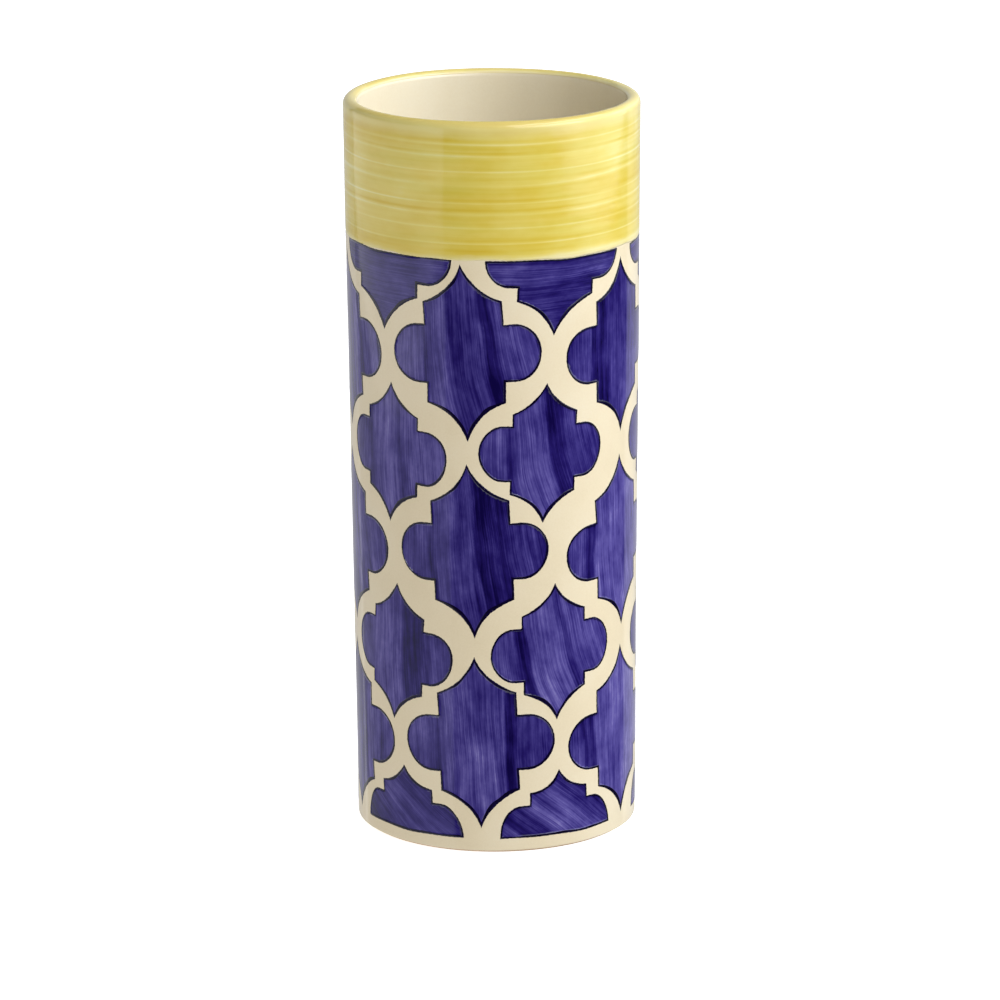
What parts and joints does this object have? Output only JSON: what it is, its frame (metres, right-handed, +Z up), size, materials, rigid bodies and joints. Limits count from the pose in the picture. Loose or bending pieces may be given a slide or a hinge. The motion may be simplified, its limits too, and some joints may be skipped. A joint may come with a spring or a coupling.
{
  "type": "talavera pottery vase",
  "caption": "Tall straight cylinder vase in glazed earthenware, open at the top, with a yellow brushed collar over a hand-painted cobalt trellis on an ivory ground.",
  "frame": {"origin": "centre of the foot, on the plane that the vase stands on", "axes": "+Z up along the axis of the vase; -Y towards the front, where the first column of large painted cells is"},
  "size_m": [0.1008, 0.1008, 0.254],
  "materials": {
    "clay": "matte",
    "ivory_glaze": "gloss",
    "liner_glaze": "gloss",
    "yellow_glaze": "gloss",
    "base_glaze": "satin",
    "cobalt_fill": "gloss",
    "cobalt_line": "gloss"
  },
  "bodies": {
    "root": {"body_wall": "clay", "body_floor": "clay", "inner_glaze": "liner_glaze", "outer_glaze": "ivory_glaze", "collar_glaze": "yellow_glaze", "base_glaze": "base_glaze", "cell_r1_c1": "cobalt_fill", "cell_r1_c2": "cobalt_fill", "cell_r1_c3": "cobalt_fill", "cell_r1_c4": "cobalt_fill", "cell_r1_c5": "cobalt_fill", "cell_r2_c1": "cobalt_fill", "cell_r2_c2": "cobalt_fill", "cell_r2_c3": "cobalt_fill", "cell_r2_c4": "cobalt_fill", "cell_r2_c5": "cobalt_fill", "cell_r3_c1": "cobalt_fill", "cell_r3_c2": "cobalt_fill", "cell_r3_c3": "cobalt_fill", "cell_r3_c4": "cobalt_fill", "cell_r3_c5": "cobalt_fill", "cell_r4_c1": "cobalt_fill", "cell_r4_c2": "cobalt_fill", "cell_r4_c3": "cobalt_fill", "cell_r4_c4": "cobalt_fill", "cell_r4_c5": "cobalt_fill", "cell_r5_c1": "cobalt_fill", "cell_r5_c2": "cobalt_fill", "cell_r5_c3": "cobalt_fill", "cell_r5_c4": "cobalt_fill", "cell_r5_c5": "cobalt_fill", "cell_r6_c1": "cobalt_fill", "cell_r6_c2": "cobalt_fill", "cell_r6_c3": "cobalt_fill", "cell_r6_c4": "cobalt_fill", "cell_r6_c5": "cobalt_fill", "cell_r7_c1": "cobalt_fill", "cell_r7_c2": "cobalt_fill", "cell_r7_c3": "cobalt_fill", "cell_r7_c4": "cobalt_fill", "cell_r7_c5": "cobalt_fill", "contour_r1": "cobalt_line", "contour_r2": "cobalt_line", "contour_r3": "cobalt_line", "contour_r4": "cobalt_line", "contour_r5": "cobalt_line", "contour_r6": "cobalt_line", "contour_r7": "cobalt_line"}
  },
  "joints": []
}
